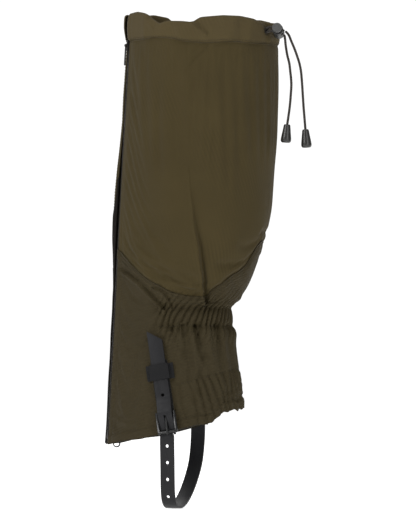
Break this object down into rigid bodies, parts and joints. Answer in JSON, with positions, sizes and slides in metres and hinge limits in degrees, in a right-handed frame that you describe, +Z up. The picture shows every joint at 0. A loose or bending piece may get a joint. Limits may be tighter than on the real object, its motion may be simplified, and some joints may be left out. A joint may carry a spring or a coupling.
{
  "type": "gaiter",
  "caption": "Knee-high fabric gaiter for the left leg: front zip, two-part sleeve gathered at the ankle, drawcord with lock at the knee, buckled strap under the instep and a boot-lace hook.",
  "frame": {"origin": "on the ground line under the instep strap, in the mid-plane of the leg, below the middle of the ankle", "axes": "+Z up along the leg, -Y towards the shin side with the zip, +Y towards the calf, +X towards the outer, buckled side of a left leg"},
  "size_m": [0.1352, 0.2162, 0.4968],
  "materials": {
    "upper_cloth": "fine twill weave, matt, olive brown",
    "lower_cloth": "ribbed abrasion cloth, slight sheen, olive brown",
    "hem_cloth": "folded and stitched edge of the upper cloth",
    "elastic_web": "woven elastic band, dark grey",
    "zip_tape": "woven polyester tape, near black",
    "zip_teeth": "nylon coil, dark brown",
    "zip_metal": "die-cast, black lacquer",
    "backing_web": "black woven backing strip",
    "strap_rubber": "moulded strap, black-grey, fine pebbled face",
    "buckle_metal": "cast buckle, satin black lacquer",
    "keeper_rubber": "moulded keeper loop, black-grey",
    "patch_web": "black reinforcement patch",
    "rivet_steel": "nickel-plated rivet",
    "hook_steel": "formed steel strip, black lacquer",
    "cord_braid": "braided elastic cord, dark brown",
    "lock_plastic": "moulded acetal, black, finely textured",
    "plunger_plastic": "moulded acetal, dark grey, pebbled face",
    "spring_steel": "plain spring wire",
    "end_plastic": "moulded bell-shaped cord end, near black"
  },
  "bodies": {
    "sleeve": {"upper_panel": "upper_cloth", "lower_panel": "lower_cloth", "top_hem": "hem_cloth", "ankle_elastic": "elastic_web", "hem_elastic": "elastic_web", "zip_tape_outer": "zip_tape", "zip_tape_inner": "zip_tape", "zip_coil_outer": "zip_teeth", "zip_coil_inner": "zip_teeth", "zip_top_stops": "zip_metal", "zip_retainer_box": "zip_teeth", "zip_insertion_pin": "zip_teeth", "strap_backing": "backing_web", "strap_keeper": "keeper_rubber", "buckle_tab": "backing_web", "strap_free_end": "strap_rubber", "anchor_patch": "patch_web", "anchor_rivet": "rivet_steel", "hook_tab": "backing_web", "hook_rivet": "rivet_steel", "drawcord_outer": "cord_braid", "drawcord_inner": "cord_braid", "cord_lock_body": "lock_plastic", "cord_lock_spring": "spring_steel"},
    "slider": {"zip_slider": "zip_metal"},
    "pull": {"zip_pull": "zip_metal"},
    "buckle": {"buckle_frame": "buckle_metal"},
    "prong": {"buckle_prong": "buckle_metal"},
    "instep": {"instep_strap": "strap_rubber"},
    "hook": {"lace_hook": "hook_steel"},
    "plunger": {"cord_lock_plunger": "plunger_plastic"},
    "tail_rear": {"cord_tail_rear": "cord_braid", "cord_end_rear": "end_plastic"},
    "tail_front": {"cord_tail_front": "cord_braid", "cord_end_front": "end_plastic"}
  },
  "joints": [
    {"name": "zip_slide", "type": "slide", "parent": "sleeve", "child": "slider", "axis": [-0.0195, -0.0606, -0.998], "range_m": [0, 0.381]},
    {"name": "pull_swing", "type": "hinge", "parent": "slider", "child": "pull", "pos_m": [0.02076, -0.04734, 0.46445], "axis": [-0.9501, -0.3097, 0.0373], "range_deg": [0, 160]},
    {"name": "buckle_swing", "type": "hinge", "parent": "sleeve", "child": "buckle", "pos_m": [0.05276, 0.00065, 0.09566], "axis": [0, -0.9867, -0.1628], "range_deg": [0, 8]},
    {"name": "prong_swing", "type": "hinge", "parent": "buckle", "child": "prong", "pos_m": [0.05276, 0.00065, 0.09566], "axis": [0, -0.9867, -0.1628], "range_deg": [0, 8]},
    {"name": "instep_swing", "type": "hinge", "parent": "sleeve", "child": "instep", "pos_m": [0.0523, 0.0022, 0.072], "axis": [0.9814, -0.0889, -0.1702], "range_deg": [-13, 14]},
    {"name": "hook_swing", "type": "hinge", "parent": "sleeve", "child": "hook", "pos_m": [0.01884, -0.05973, 0.07165], "axis": [0.9501, 0.3097, -0.0373], "range_deg": [-20, 60]},
    {"name": "lock_press", "type": "slide", "parent": "sleeve", "child": "plunger", "axis": [-0.9699, -0.104, -0.22], "range_m": [0, 0.004], "stiffness_N_per_m": 400, "springref_m": -0.004, "deforming": ["cord_lock_spring"]},
    {"name": "tail_rear_swing", "type": "hinge", "parent": "sleeve", "child": "tail_rear", "pos_m": [0.02932, 0.11768, 0.47711], "axis": [0, 1, 0], "range_deg": [-45, 45]},
    {"name": "tail_front_swing", "type": "hinge", "parent": "sleeve", "child": "tail_front", "pos_m": [0.03019, 0.11668, 0.47376], "axis": [0, 1, 0], "range_deg": [-45, 45]}
  ]
}
